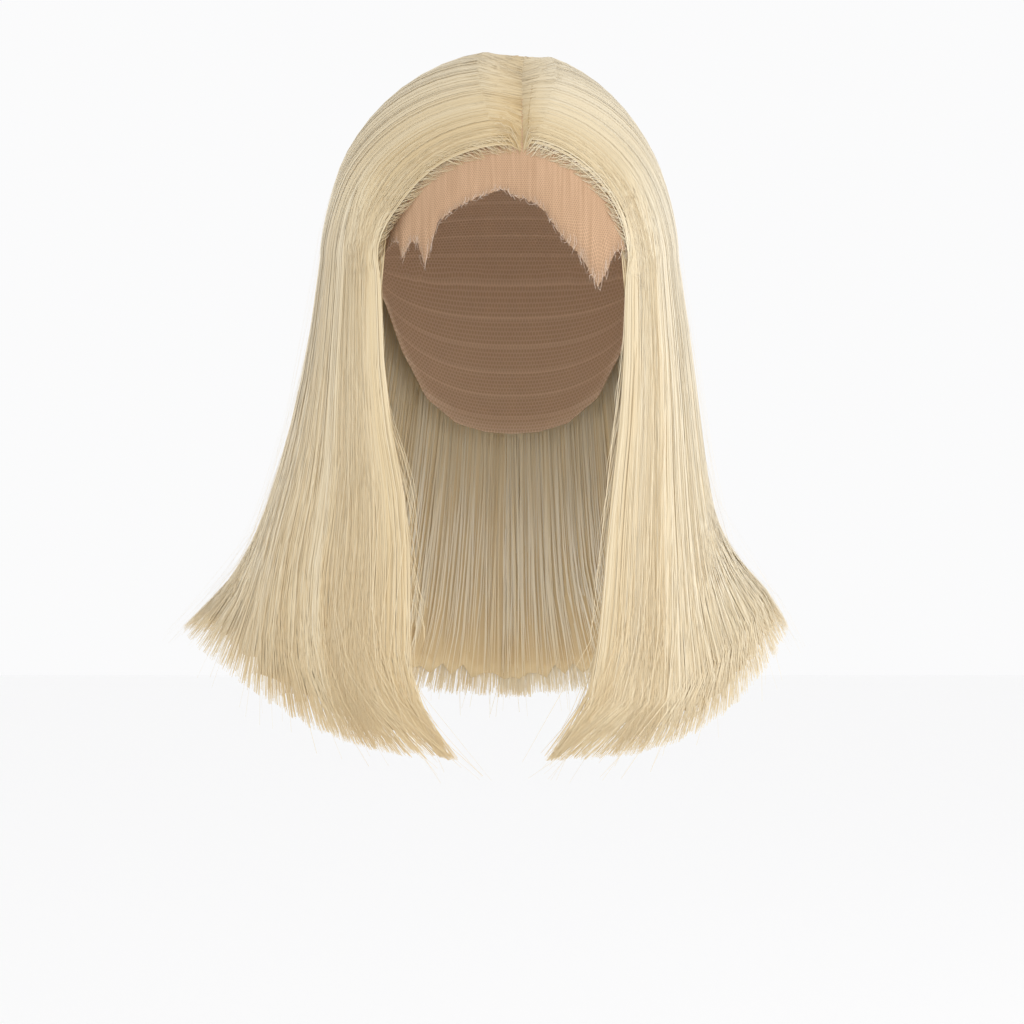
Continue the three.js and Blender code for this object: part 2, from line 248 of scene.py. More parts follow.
def over_head(side, around, turn):
    """Points of the hair over the head. turn is 0 at the part and a right angle at the widest level."""
    power = 2 / HEAD_FULLNESS
    front_angle = math.acos(((CROWN_HEIGHT - HAIRLINE_DROP) / CROWN_HEIGHT) ** (HEAD_FULLNESS / 2))
    angle = mix(-front_angle, math.radians(PART_BACK_ANGLE), around)
    gap = mix(PART_GAP, -CROWN_OVERLAP, smooth(0.85, 0.97, around))
    root = np.stack(
        [
            PART_OFFSET + side["sign"] * gap / 2,
            HEAD_HALF_LENGTH * signed_power(np.sin(angle), power),
            -CROWN_HEIGHT + CROWN_HEIGHT * signed_power(np.cos(angle), power),
        ],
        -1,
    )
    wide = row_points(side, np.zeros_like(around), around)
    arch = 2 / mix(side["hairline_fullness"], 2.0, smooth(0, SIDE_SHARE, around))
    out = signed_power(np.sin(turn), arch)
    up = np.maximum(np.cos(turn), 0.0) ** arch
    back = mix(np.sin(turn) ** 2, np.sin(turn), smooth(0, 1, around))
    way = np.stack(
        [
            mix(root[..., 0], wide[..., 0], out),
            mix(root[..., 1], wide[..., 1], back),
            mix(wide[..., 2], root[..., 2], up),
        ],
        -1,
    )
    way = way - HEAD_MIDDLE
    length = np.linalg.norm(way, axis=-1)
    way = way / length[..., None]
    share = turn / (math.pi / 2)
    near_part = (1 - smooth(0, math.radians(PART_BAND), turn)) * (1 - smooth(*PART_FILL, around))
    near_edge = (1 - smooth(0.5, 0.95, share)) * (1 - smooth(0, EDGE_BAND, around))
    rooted = head_radius(way) + ROOT_LIFT
    full = mix(hair_radius(side, way, around), rooted, np.maximum(near_part, near_edge))
    radius = mix(full, length, smooth(0.6, 1, share))
    return HEAD_MIDDLE + way * radius[..., None]


def hair_surface(side, around, along):
    """Points on the outside of one side of the hair, in millimetres."""
    around, along = np.broadcast_arrays(np.asarray(around, float), np.asarray(along, float))
    turn = np.minimum(along / HEAD_SHARE, 1) * math.pi / 2
    fall = np.maximum((along - HEAD_SHARE) / (1 - HEAD_SHARE), 0)
    hanging = (along >= HEAD_SHARE)[..., None]
    return np.where(hanging, row_points(side, fall, around), over_head(side, around, turn))


def unit(vectors):
    """The same vectors with a length of 1."""
    return vectors / np.linalg.norm(vectors, axis=-1, keepdims=True)


def from_middle(points):
    """Unit vectors from the middle of the head."""
    return unit(points - HEAD_MIDDLE)


def outward(side, around, along):
    """Unit normals of the outside of the hair. Behind the part, where the flow folds, they fan out."""
    step = 0.004
    across = hair_surface(side, around + step, along) - hair_surface(side, around - step, along)
    down = hair_surface(side, around, along + step) - hair_surface(side, around, along - step)
    normal = unit(np.cross(down, across) * side["sign"])
    folded = smooth(0.88, 0.97, around) * (1 - smooth(0.1, 0.3, along))
    fan = from_middle(hair_surface(side, around, along))
    return unit(mix(normal, fan, folded[..., None]))


print("crown", hair_surface(SIDES["left"], 0.9, 0.1).round(1))

# %% [markdown]
# ## The flow sheets
# Each side of the hair gets one sheet, a plain grid on the outside of the hair. It is never rendered. Its
# UV map holds round and along, so Geometry Nodes can ask where a place on the flow lies in the room. The
# attribute outward tells which way is out there. It is worked out from the form, not from the faces,
# because the flow folds over itself where the part ends.

# %% Flow sheets
ROUND_FROM = -0.03
ROUND_TO = 1.05
ALONG_FROM = -0.03
ALONG_TO = 1.06
SHEET_COLUMNS = 72
SHEET_ROWS = 110


def grid_mesh(name, points, coordinates, directions):
    """A mesh on a grid of points, in millimetres, with coordinates as its UV map and outward directions."""
    rows, columns = points.shape[:2]
    index = np.arange(rows * columns).reshape(rows, columns)
    faces = np.stack([index[:-1, :-1], index[:-1, 1:], index[1:, 1:], index[1:, :-1]], -1).reshape(-1, 4)
    mesh = bpy.data.meshes.new(name)
    mesh.from_pydata((points.reshape(-1, 3) * MM).tolist(), [], faces.tolist())
    layer = mesh.uv_layers.new(name="flow")
    layer.uv.foreach_set("vector", coordinates.reshape(-1, 2)[faces.ravel()].ravel().astype(np.float32))
    kept = mesh.attributes.new("outward", "FLOAT_VECTOR", "POINT")
    kept.data.foreach_set("vector", directions.ravel().astype(np.float32))
    return mesh


def flow_sheet(name, side):
    around, along = np.meshgrid(
        np.linspace(ROUND_FROM, ROUND_TO, SHEET_COLUMNS),
        np.linspace(ALONG_FROM, ALONG_TO, SHEET_ROWS),
    )
    points = hair_surface(side, around, along)
    across_map = (around - ROUND_FROM) / (ROUND_TO - ROUND_FROM)
    coordinates = np.stack([across_map, (along - ALONG_FROM) / (ALONG_TO - ALONG_FROM)], -1)
    return grid_mesh(name, points, coordinates, outward(side, around, along))


sheets = {name: flow_sheet(f"flow_{name}", side) for name, side in SIDES.items()}
print("flow sheets", {name: len(mesh.polygons) for name, mesh in sheets.items()})

# %% [markdown]
# ## Under the strands
# Thousands of thin strands still leave gaps, and a real head of hair has many more hairs below them. Each
# side gets a smooth closed wall a little under its outside, which the strands lie on. It starts behind
# the hairline, so that the lace shows between the roots there, gets thick where the hair hangs, and
# stops short of the tips with a ragged edge.

# %% Wall under the hair


def closed_wall(name, outer, inner, coordinates):
    """A closed mesh between two grids of points, in millimetres, with the same UV map on both."""
    rows, columns = outer.shape[:2]
    count = rows * columns
    index = np.arange(count).reshape(rows, columns)
    front = np.stack([index[:-1, :-1], index[1:, :-1], index[1:, 1:], index[:-1, 1:]], -1).reshape(-1, 4)
    back = front[:, ::-1] + count
    ring = np.concatenate([index[:, 0], index[-1, 1:], index[-2::-1, -1], index[0, -2:0:-1]])
    after = np.roll(ring, -1)
    rim = np.stack([after, ring, ring + count, after + count], -1)
    faces = np.concatenate([front, back, rim])
    mesh = bpy.data.meshes.new(name)
    points = np.concatenate([outer.reshape(-1, 3), inner.reshape(-1, 3)]) * MM
    mesh.from_pydata(points.tolist(), [], faces.tolist())
    layer = mesh.uv_layers.new(name="OFBake")
    places = np.concatenate([coordinates.reshape(-1, 2)] * 2)
    layer.uv.foreach_set("vector", places[faces.ravel()].ravel().astype(np.float32))
    mesh.shade_smooth()
    return mesh


UNDER_COLUMNS = 74
UNDER_ROWS = 50
UNDER_END = 0.97
UNDER_RAGGED = (-0.014, 0.008)
UNDER_DEPTH = (1.7, 2.1)
UNDER_TIP_DEPTH = 0.7
UNDER_THIN = 0.5
UNDER_FILL = 5.0


def under_mesh(name, side):
    s, t = np.meshgrid(np.linspace(0, 1, UNDER_COLUMNS), np.linspace(0, 1, UNDER_ROWS))
    ragged = np.random.default_rng(3).uniform(*UNDER_RAGGED, UNDER_COLUMNS)
    along = mix(mix(0.012, 0.0, smooth(0.6, 0.8, s)), UNDER_END + ragged, t)
    start = mix(0.05, 0.012, smooth(0.25, 0.45, along))
    around = mix(start, 1.02, s)
    room = smooth(0.01, 0.15, along) * smooth(0.03, 0.2, mix(around, 1.0, smooth(0.3, 0.45, along)))
    below = mix(*UNDER_DEPTH, room) + UNDER_TIP_DEPTH * smooth(0.65, 0.9, along)
    edge = smooth(0.0, 0.06, s) * smooth(0.0, 0.4, 1 - t) * smooth(0.25, 0.45, along)
    thickness = UNDER_THIN + UNDER_FILL * edge
    points = hair_surface(side, around, along)
    out = outward(side, around, along)
    outer = points - out * below[..., None]
    inner = points - out * (below + thickness)[..., None]
    curled = smooth(0.76, 1.12, along) ** 1.3 * smooth(0.0, 0.1, around) * (1 - smooth(0.24, 0.5, around))
    coordinates = np.stack([s + 0.12 * curled, along], -1)
    if side["sign"] < 0:
        outer, inner, coordinates = outer[:, ::-1], inner[:, ::-1], coordinates[:, ::-1]
    return closed_wall(name, outer, inner, coordinates)


# %% [markdown]
# ## Nodes in script
# A node tree is easier to read when a formula takes one line. These helpers add a node, link or set its
# inputs, and hand back its output. The commonest sums get names of their own: times, plus, minus, ratio,
# raised, least, most, and times_plus, which is the first times the second plus the third.

# %% Node helpers


def node(tree, kind, **settings):
    made = tree.nodes.new(kind)
    for name, value in settings.items():
        setattr(made, name, value)
    return made


def wire(tree, source, target):
    """Links an output to an input, or sets the input to a plain value."""
    if isinstance(source, bpy.types.NodeSocket):
        tree.links.new(source, target)
    else:
        target.default_value = source


def fed(tree, kind, inputs, output=0, **settings):
    """A new node with its inputs given by name or number, as its output."""
    made = node(tree, kind, **settings)
    for key, value in inputs.items():
        wire(tree, value, made.inputs[key])
    return made.outputs[output]


def maths(tree, operation, a, b=0.0, c=0.0):
    return fed(tree, "ShaderNodeMath", {0: a, 1: b, 2: c}, operation=operation)


def arithmetic(operation):
    """A short form of one kind of maths node."""

    def made(tree, *values):
        return maths(tree, operation, *values)

    return made


times = arithmetic("MULTIPLY")
plus = arithmetic("ADD")
minus = arithmetic("SUBTRACT")
ratio = arithmetic("DIVIDE")
raised = arithmetic("POWER")
least = arithmetic("MINIMUM")
most = arithmetic("MAXIMUM")
times_plus = arithmetic("MULTIPLY_ADD")


def blend(tree, a, b, share):
    """From a to b, by share."""
    return times_plus(tree, minus(tree, b, a), share, a)


def fade(tree, value, low, high):
    """0 where the value is at low, 1 where it is at high, and smooth between them."""
    inputs = {"Value": value, "From Min": low, "From Max": high}
    return fed(tree, "ShaderNodeMapRange", inputs, interpolation_type="SMOOTHSTEP")


def vector(tree, x=0.0, y=0.0, z=0.0):
    return fed(tree, "ShaderNodeCombineXYZ", {"X": x, "Y": y, "Z": z})


def noise(tree, place, scale, detail=2.0, roughness=0.5):
    inputs = {"Vector": place, "Scale": scale, "Detail": detail, "Roughness": roughness}
    return fed(tree, "ShaderNodeTexNoise", inputs)


def chance(tree, low, high, key, seed):
    """A random number between low and high, one for each key."""
    made = node(tree, "FunctionNodeRandomValue", data_type="FLOAT")
    sockets = {s.identifier: s for s in made.inputs}
    wire(tree, low, sockets["Min_001"])
    wire(tree, high, sockets["Max_001"])
    wire(tree, key, sockets["ID"])
    wire(tree, seed, sockets["Seed"])
    return next(s for s in made.outputs if s.identifier == "Value_001")


def tree_with(name, inputs, outputs, kind="GeometryNodeTree"):
    """A new node group. An input is a name, a socket type and a default, an output a name and a type."""
    tree = bpy.data.node_groups.new(name, kind)
    for label, socket_type in outputs:
        tree.interface.new_socket(name=label, in_out="OUTPUT", socket_type=socket_type)
    for label, socket_type, default in inputs:
        socket = tree.interface.new_socket(name=label, in_out="INPUT", socket_type=socket_type)
        if default is not None:
            socket.default_value = default
    return tree, node(tree, "NodeGroupInput").outputs, node(tree, "NodeGroupOutput").inputs


# %% [markdown]
# ## One set of strands
# One node group lays a set of strands on a flow sheet, and these are its inputs. The first ones say how
# many strands there are, how their points and their length are shared between the head and the hanging
# part, and where on the flow their roots and tips lie. The others say how deep they lie, how they part from
# their straight course, how they clump, and how broad and how pale they are. Depths and widths are metres.

# %% Inputs of the strand set
FLOAT = "NodeSocketFloat"
INT = "NodeSocketInt"
GEOMETRY = "NodeSocketGeometry"
LONG_POINTS = 26
STRAND_NUMBERS = {
    "Points On Head": 0.68,
    "Length On Head": 0.4,
    "Round From": 0.0,
    "Round To": 1.0,
    "Root From": -0.005,
    "Root To": 0.006,
    "Root Fade": 0.15,
    "Tip From": 0.955,
    "Tip To": 1.0,
    "Crossing": -0.025,
    "Longest": 2.0,
    "Crowding": 1.0,
    "Root Depth": 0.0024,
    "Depth From": 0.0003,
    "Depth To": 0.0013,
    "Rise": 0.08,
    "Drift": 0.0,
    "Drift By": 0.3,
    "Sweep": 0.12,
    "Hairline Gap": 0.13,
    "Clumps": 170.0,
    "Clump Pull": 0.22,
    "Clump Depth": 0.0002,
    "Wave": 0.003,
    "Width": 0.0009,
    "Pale": 0.43,
}
STRAND_INPUTS = [("Sheet", GEOMETRY, None), ("Strands", INT, 400), ("Points", INT, LONG_POINTS)]
STRAND_INPUTS += [(name, FLOAT, value) for name, value in STRAND_NUMBERS.items()]
STRAND_INPUTS += [("Seed", INT, 1)]
print("strand set inputs", len(STRAND_INPUTS))

# %% [markdown]
# ## From points to ribbons
# The points of a strand are joined to a curve. A flat three-sided section is swept along it, with the
# ridge to the outside, and makes a fine ribbon that stands for a few hairs. Its UV map holds the tint of
# the strand, with a little more from edge to edge, and the place from root to tip.

# %% Ribbons
STRAND_SIDES = 3
STRAND_FLATNESS = 0.16
UNIT_TRIANGLE_RADIUS = 0.577
TINT_WIDTH = 0.006


def named(tree, name, kind="FLOAT"):
    return fed(tree, "GeometryNodeInputNamedAttribute", {"Name": name}, data_type=kind)


def stored(tree, geometry, name, value, kind="FLOAT", domain="POINT"):
    inputs = {"Geometry": geometry, "Name": name, "Value": value}
    return fed(tree, "GeometryNodeStoreNamedAttribute", inputs, data_type=kind, domain=domain)


def flat_section(tree):
    """A flat triangle, with the place of each corner as rim and a mark on those of its flat side."""
    circle = {"Resolution": STRAND_SIDES, "Radius": UNIT_TRIANGLE_RADIUS}
    section = fed(tree, "GeometryNodeCurvePrimitiveCircle", circle)
    flat = {"Geometry": section, "Scale": (STRAND_FLATNESS, 1.0, 1.0)}
    section = fed(tree, "GeometryNodeTransform", flat)
    rim = ratio(tree, fed(tree, "GeometryNodeInputIndex", {}), STRAND_SIDES)
    section = stored(tree, section, "rim", rim)
    return stored(tree, section, "flank", maths(tree, "GREATER_THAN", rim, 0.1))


def strand_ribbons(tree, points, strand, step, fields):
    """Joins points to curves and sweeps the section along them, with tint and step as a UV map."""
    points = fed(tree, "GeometryNodeSetPosition", {"Geometry": points, "Position": fields["place"]})
    for name in ("tint", "step", "width"):
        points = stored(tree, points, name, fields[name])
    points = stored(tree, points, "facing", fields["facing"], kind="FLOAT_VECTOR")
    joined = {"Points": points, "Curve Group ID": strand, "Weight": step}
    curves = fed(tree, "GeometryNodePointsToCurves", joined)
    turned = {"Curve": curves, "Normal": named(tree, "facing", "FLOAT_VECTOR")}
    curves = fed(tree, "GeometryNodeSetCurveNormal", turned, mode="FREE")
    swept = {"Curve": curves, "Profile Curve": flat_section(tree), "Scale": named(tree, "width")}
    swept["Fill Caps"] = True
    mesh = fed(tree, "GeometryNodeCurveToMesh", swept)
    ridge = maths(tree, "LESS_THAN", named(tree, "flank"), 0.75)
    smoothed = {"Geometry": mesh, "Shade Smooth": ridge}
    mesh = fed(tree, "GeometryNodeSetShadeSmooth", smoothed, domain="EDGE")
    across = times_plus(tree, named(tree, "rim"), TINT_WIDTH, named(tree, "tint"))
    mesh = stored(tree, mesh, "OFBake", vector(tree, across, named(tree, "step")), "FLOAT2", "CORNER")
    for name in ("tint", "step", "width", "facing", "rim", "flank"):
        mesh = fed(tree, "GeometryNodeRemoveAttribute", {"Geometry": mesh, "Name": name})
    return mesh


print("triangles of a long strand", 2 * STRAND_SIDES * (LONG_POINTS - 1) + 2)

# %% [markdown]
# ## The course of a strand
# Along the flow a strand runs from its root to its tip, with most of its points over the head, where it
# bends. At the back, where the part ends, some roots lie beyond it, so that both sides cross. Around the
# flow it keeps its place, but further down it is pulled into a clump, as real hair is, and sways a little.
# Behind the hairline it moves back to leave room for finer hair, and at the hem it curls to the face.

# %% Course of a strand


def flow_along(tree, given, luck, step, home, clump_key):
    """How far along the flow each point of a strand is."""
    root = luck(given["Root From"], given["Root To"], 3)
    crossing = times(tree, fade(tree, home, 0.72, 0.95), luck(0.2, 1.0, 20))
    root = times_plus(tree, crossing, given["Crossing"], root)
    shorter = raised(tree, luck(0.0, 1.0, 4), 2.5)
    tip = blend(tree, given["Tip To"], given["Tip From"], shorter)
    tip = plus(tree, tip, luck(-0.004, 0.004, 5, clump_key))
    longest = times_plus(tree, given["Longest"], luck(0.4, 1.0, 15), root)
    tip = least(tree, tip, longest)
    over = least(tree, ratio(tree, step, given["Points On Head"]), 1.0)
    over = times(tree, raised(tree, over, given["Crowding"]), given["Length On Head"])
    hanging = most(tree, minus(tree, step, given["Points On Head"]), 0.0)
    hanging = ratio(tree, hanging, minus(tree, 1.0, given["Points On Head"]))
    hanging = raised(tree, hanging, 0.8)
    rest = minus(tree, tip, given["Length On Head"])
    near_root = fade(tree, step, given["Root Fade"], 0.0)
    late = times(tree, minus(tree, 1.0, hanging), near_root)
    return times_plus(tree, root, late, times_plus(tree, hanging, rest, over))


def flow_around(tree, given, luck, step, home, centre, along):
    """How far round the flow each point is: its home, drawn to its clump's centre, waved and curled."""
    pull = times(tree, raised(tree, along, 1.6), luck(0.3, 1.0, 6))
    pull = times(tree, pull, given["Clump Pull"])
    turn = times_plus(tree, step, luck(2.0, 7.0, 7), luck(0.0, 6.3, 8))
    loose = times(tree, given["Wave"], fade(tree, along, 0.2, 0.7))
    wave = times(tree, maths(tree, "SINE", turn), loose)
    started = fade(tree, step, 0.0, given["Drift By"])
    drift = times(tree, times(tree, luck(0.6, 1.0, 9), given["Drift"]), started)
    around = plus(tree, blend(tree, home, centre, pull), plus(tree, wave, drift))
    in_front = times(tree, fade(tree, home, 0.0, 0.1), fade(tree, home, 0.5, 0.24))
    curl = raised(tree, fade(tree, along, 0.76, 1.12), 1.3)
    curl = times(tree, times(tree, curl, in_front), given["Sweep"])
    around = minus(tree, around, curl)
    behind = times(tree, fade(tree, along, 0.42, 0.2), fade(tree, home, 0.28, 0.0))
    behind = times(tree, behind, fade(tree, along, -0.008, 0.025))
    behind = times(tree, behind, raised(tree, luck(0.0, 1.0, 19), 0.5))
    return times_plus(tree, behind, given["Hairline Gap"], around)


def sheet_place(tree, around, along):
    """The place on the flow sheet's UV map, kept inside it."""
    u = ratio(tree, minus(tree, around, ROUND_FROM), ROUND_TO - ROUND_FROM)
    u = least(tree, most(tree, u, 0.0005), 0.9995)
    v = ratio(tree, minus(tree, along, ALONG_FROM), ALONG_TO - ALONG_FROM)
    return vector(tree, u, least(tree, v, 0.9995))


def sampled(tree, sheet, value, place):
    """A vector of the flow sheet, read at a place on its UV map."""
    made = node(tree, "GeometryNodeSampleUVSurface", data_type="FLOAT_VECTOR")
    wire(tree, sheet, made.inputs["Mesh"])
    wire(tree, value, made.inputs["Value"])
    wire(tree, named(tree, "flow", "FLOAT_VECTOR"), made.inputs["UV Map"])
    wire(tree, place, made.inputs["Sample UV"])
    return made.outputs["Value"]


# %% [markdown]
# ## Depth, width and tint
# Strands lie at many depths, which gives the hair its body. They leave the lace at one depth and come up
# to their own. Deeper ones are broader, and all taper to the tip. A strand is paler the further it lies
# from the face, up to the side of the head, which is painted light, with broad light and dark bands and
# some luck of its own.
# The whole group then puts these together. Every random number has its own offset from the seed.

# %% Strand set


def strand_depth(tree, given, luck, step, along, share, clump_key):
    """How far each point lies under the outside of the hair."""
    deep = blend(tree, given["Depth From"], given["Depth To"], share)
    deep = times(tree, deep, blend(tree, 0.5, 1.0, fade(tree, along, 0.1, 0.5)))
    deep = blend(tree, given["Root Depth"], deep, fade(tree, step, 0.0, given["Rise"]))
    relief = times(tree, luck(-1.0, 1.0, 11, clump_key), given["Clump Depth"])
    return times_plus(tree, relief, fade(tree, along, 0.1, 0.7), deep)


def strand_width(tree, given, luck, step, share):
    """How broad the ribbon is at each point. It is finer at the root and at the tip."""
    thick = times(tree, luck(0.7, 1.3, 12), blend(tree, 0.6, 1.3, share))
    thick = times(tree, given["Width"], thick)
    ends = times(tree, fade(tree, step, -0.1, 0.08), fade(tree, step, 1.06, 0.8))
    return times(tree, thick, blend(tree, 0.2, 1.0, ends))


def strand_tint(tree, given, luck, home, clump_key):
    """The place of a strand in the row of tints, from deep gold to cream."""
    broad = noise(tree, vector(tree, home, times(tree, given["Seed"], 0.001)), 14.0, 1.0)
    # Paler away from the face, towards the side of the head: painted light, deeper near the face.
    pale = times_plus(tree, fade(tree, home, 0.05, 0.4), 0.23, given["Pale"])
    broad = times_plus(tree, minus(tree, broad, 0.5), 0.5, pale)
    own = plus(tree, luck(-0.09, 0.09, 13), luck(-0.03, 0.03, 14, clump_key))
    return least(tree, most(tree, plus(tree, broad, own), 0.01), 0.98)


def build_strand_set():
    tree, given, result = tree_with("strand_set", STRAND_INPUTS, [("Geometry", GEOMETRY)])
    total = times(tree, given["Strands"], given["Points"])
    points = fed(tree, "GeometryNodePoints", {"Count": total})
    index = fed(tree, "GeometryNodeInputIndex", {})
    strand = maths(tree, "FLOOR", ratio(tree, index, given["Points"]))
    number = minus(tree, index, times(tree, strand, given["Points"]))
    step = ratio(tree, number, minus(tree, given["Points"], 1.0))

    def luck(low, high, offset, key=strand):
        return chance(tree, low, high, key, plus(tree, given["Seed"], float(offset)))

    even = ratio(tree, plus(tree, strand, luck(0.0, 1.0, 1)), given["Strands"])
    home = blend(tree, given["Round From"], given["Round To"], even)
    clump = maths(tree, "FLOOR", times_plus(tree, home, given["Clumps"], luck(-0.4, 0.4, 2)))
    centre = ratio(tree, plus(tree, clump, 0.5), given["Clumps"])
    clump_key = plus(tree, clump, 500.0)
    along = flow_along(tree, given, luck, step, home, clump_key)
    around = flow_around(tree, given, luck, step, home, centre, along)
    on_sheet = sheet_place(tree, around, along)
    outside = sampled(tree, given["Sheet"], fed(tree, "GeometryNodeInputPosition", {}), on_sheet)
    normal = sampled(tree, given["Sheet"], named(tree, "outward", "FLOAT_VECTOR"), on_sheet)

    share = luck(0.0, 1.0, 10)
    deep = strand_depth(tree, given, luck, step, along, share, clump_key)
    sunk = fed(tree, "ShaderNodeVectorMath", {0: normal, "Scale": deep}, operation="SCALE")
    tilt = vector(tree, luck(-0.1, 0.1, 16), luck(-0.1, 0.1, 17), luck(-0.1, 0.1, 18))
    fields = {
        "place": fed(tree, "ShaderNodeVectorMath", {0: outside, 1: sunk}, operation="SUBTRACT"),
        "facing": fed(tree, "ShaderNodeVectorMath", {0: normal, 1: tilt}, operation="ADD"),
        "width": strand_width(tree, given, luck, step, share),
        "tint": strand_tint(tree, given, luck, home, clump_key),
        "step": step,
    }
    wire(tree, strand_ribbons(tree, points, strand, step, fields), result["Geometry"])
    return tree


strand_set = build_strand_set()
print("strand set nodes", len(strand_set.nodes))

# %% [markdown]
# ## A lock of hair
# A lock needs more than one set: long strands from the part to the hem, shorter ones that come out from
# under them and keep the hem as dense as the crown, a few on the inside, which show through the face
# opening, and loose flyaways. The front locks also have hair that is knotted along the hairline: it rises
# from the lace, bends back and joins the flow. Shorter baby hair grows in front of it, and a few wisps
# hang free beside the face. One tree places the strand set for each kind and joins them.

# %% Lock tree
OFF_HEAD = {"Points On Head": 0.001, "Length On Head": 0.0, "Root Fade": 100.0, "Crossing": 0.0}
SETS = {
    "Long": {},
    "Short": OFF_HEAD
    | {
        "Points": 8,
        "Root From": 0.25,
        "Root To": 0.55,
        "Tip From": 0.94,
        "Root Depth": 0.004,
        "Depth From": 0.0006,
        "Depth To": 0.0022,
        "Rise": 0.35,
    },
    "Inner": OFF_HEAD
    | {
        "Points": 7,
        "Root From": 0.35,
        "Root To": 0.6,
        "Tip From": 0.9,
        "Tip To": 0.985,
        "Root Depth": 0.0085,
        "Depth From": 0.002,
        "Depth To": 0.006,
        "Rise": 1.0,
    },
    "Hairline": {
        "Points": 14,
        "Points On Head": 0.75,
        "Root Fade": 100.0,
        "Root From": -0.004,
        "Root To": 0.42,
        "Crowding": 2.1,
        "Rise": 0.2,
        "Drift": 0.1,
        "Drift By": 0.2,
        "Depth From": 0.0,
        "Depth To": 0.0015,
        "Hairline Gap": 0.0,
        # Paler than the lock: painted light, set against the shade under the roll of hair.
        "Pale": 0.05,
    },
    "Baby": OFF_HEAD
    | {
        "Points": 6,
        "Root From": 0.0,
        "Root To": 0.4,
        "Longest": 0.07,
        "Rise": 0.6,
        "Drift": 0.06,
        "Drift By": 0.9,
        "Depth From": 0.0,
        "Depth To": 0.0016,
        "Hairline Gap": 0.0,
        "Wave": 0.006,
        # Paler than the lock: painted light, set against the shade under the roll of hair.
        "Pale": 0.14,
    },
    "Stray": {
        "Points": 10,
        "Root Fade": 100.0,
        "Root From": 0.0,
        "Root To": 0.5,
        "Tip To": 1.03,
        "Depth From": -0.005,
        "Depth To": 0.0,
        "Rise": 0.9,
        "Clump Pull": 0.0,
        "Wave": 0.02,
    },
    "Wisp": OFF_HEAD
    | {
        "Points": 9,
        "Root From": 0.35,
        "Root To": 0.8,
        "Longest": 0.3,
        "Root Depth": 0.004,
        "Depth From": 0.0,
        "Depth To": 0.006,
        "Rise": 0.8,
        "Drift": -0.03,
        "Drift By": 1.0,
        "Sweep": 0.0,
        "Hairline Gap": 0.0,
        "Clump Pull": 0.0,
        "Wave": 0.008,
    },
}
HAIRLINE_SETS = {"Hairline": (-0.01, 0.06), "Baby": (-0.014, 0.02), "Wisp": (-0.002, 0.03)}
THINNER = {"Hairline": 0.36, "Baby": 0.3, "Stray": 0.45, "Wisp": 0.4}
SEED_STEP = 50.0


def placed_set(tree, given, name, order):
    """One strand set in the lock tree, with its own settings. Its Pale is added to that of the lock."""
    made = node(tree, "GeometryNodeGroup", node_tree=strand_set)
    for label, value in SETS[name].items():
        made.inputs[label].default_value = value
    wire(tree, given["Sheet"], made.inputs["Sheet"])
    wire(tree, given[f"{name} Strands"], made.inputs["Strands"])
    wire(tree, times(tree, given["Width"], THINNER.get(name, 1.0)), made.inputs["Width"])
    wire(tree, plus(tree, given["Pale"], SETS[name].get("Pale", 0.0)), made.inputs["Pale"])
    wire(tree, plus(tree, given["Seed"], SEED_STEP * order), made.inputs["Seed"])
    start, end = HAIRLINE_SETS.get(name, (given["Round From"], given["Round To"]))
    wire(tree, start, made.inputs["Round From"])
    wire(tree, end, made.inputs["Round To"])
    return made.outputs["Geometry"]


def finished(tree, geometry, material):
    """Realizes the instances, shades them smooth and gives them a material."""
    real = fed(tree, "GeometryNodeRealizeInstances", {"Geometry": geometry})
    smoothed = fed(tree, "GeometryNodeSetShadeSmooth", {"Geometry": real, "Shade Smooth": True})
    return fed(tree, "GeometryNodeSetMaterial", {"Geometry": smoothed, "Material": material})


def build_lock_tree():
    inputs = [("Sheet", GEOMETRY, None), ("Round From", FLOAT, 0.0), ("Round To", FLOAT, 1.0)]
    inputs += [(f"{name} Strands", INT, 0) for name in SETS]
    inputs += [("Width", FLOAT, 0.0009), ("Pale", FLOAT, 0.43), ("Seed", INT, 1)]
    inputs += [("Material", "NodeSocketMaterial", None)]
    tree, given, result = tree_with("lock_of_hair", inputs, [("Geometry", GEOMETRY)])
    join = node(tree, "GeometryNodeJoinGeometry")
    for order, name in enumerate(SETS):
        tree.links.new(placed_set(tree, given, name, order), join.inputs[0])
    wire(tree, finished(tree, join.outputs[0], given["Material"]), result["Geometry"])
    return tree


lock_tree = build_lock_tree()
print("lock tree nodes", len(lock_tree.nodes))

# %% [markdown]
# ## The colour of the hair
# The blonde is many near tints side by side: cream, pale gold and a few deeper threads. Every strand
# carries its own tint in the first coordinate of its UV map and its place from root to tip in the second,
# so the pattern never slides. The wall below has round and along in its map. Both materials get their
# colour and their fine grooves from one group, so that they look like the same hair. It makes the roots
# deeper in tone, and it paints shade on the tips and the crown: their tints are deeper, and the crown's
# colour is darker too, because the lamp would otherwise wash out the crown.

# %% Hair materials
HAIR_TINTS = [
    (0.0, (0.64, 0.45, 0.21)),
    (0.25, (0.78, 0.615, 0.36)),
    (0.5, (0.85, 0.72, 0.49)),
    (0.75, (0.89, 0.80, 0.62)),
    (1.0, (0.92, 0.86, 0.74)),
]
UNDER_TINT = 0.35
# How much deeper the tint gets at the roots, and how much painted shade the tips and the crown get.
DEEPER_ROOTS_AND_PAINTED_SHADE = 0.24
CROWN_PAINTED_SHADE_SHARE = 0.75
# The crown's colour is darkened by this factor: painted shade.
CROWN_PAINTED_SHADE = 0.89


def ramp(tree, value, stops):
    """A colour for each value, from a list of places and colours."""
    made = node(tree, "ShaderNodeValToRGB")
    elements = made.color_ramp.elements
    while len(elements) < len(stops):
        elements.new(0.5)
    for element, (place, colour) in zip(elements, stops):
        element.position = place
        element.color = (*colour, 1.0)
    wire(tree, value, made.inputs["Fac"])
    return made.outputs["Color"]


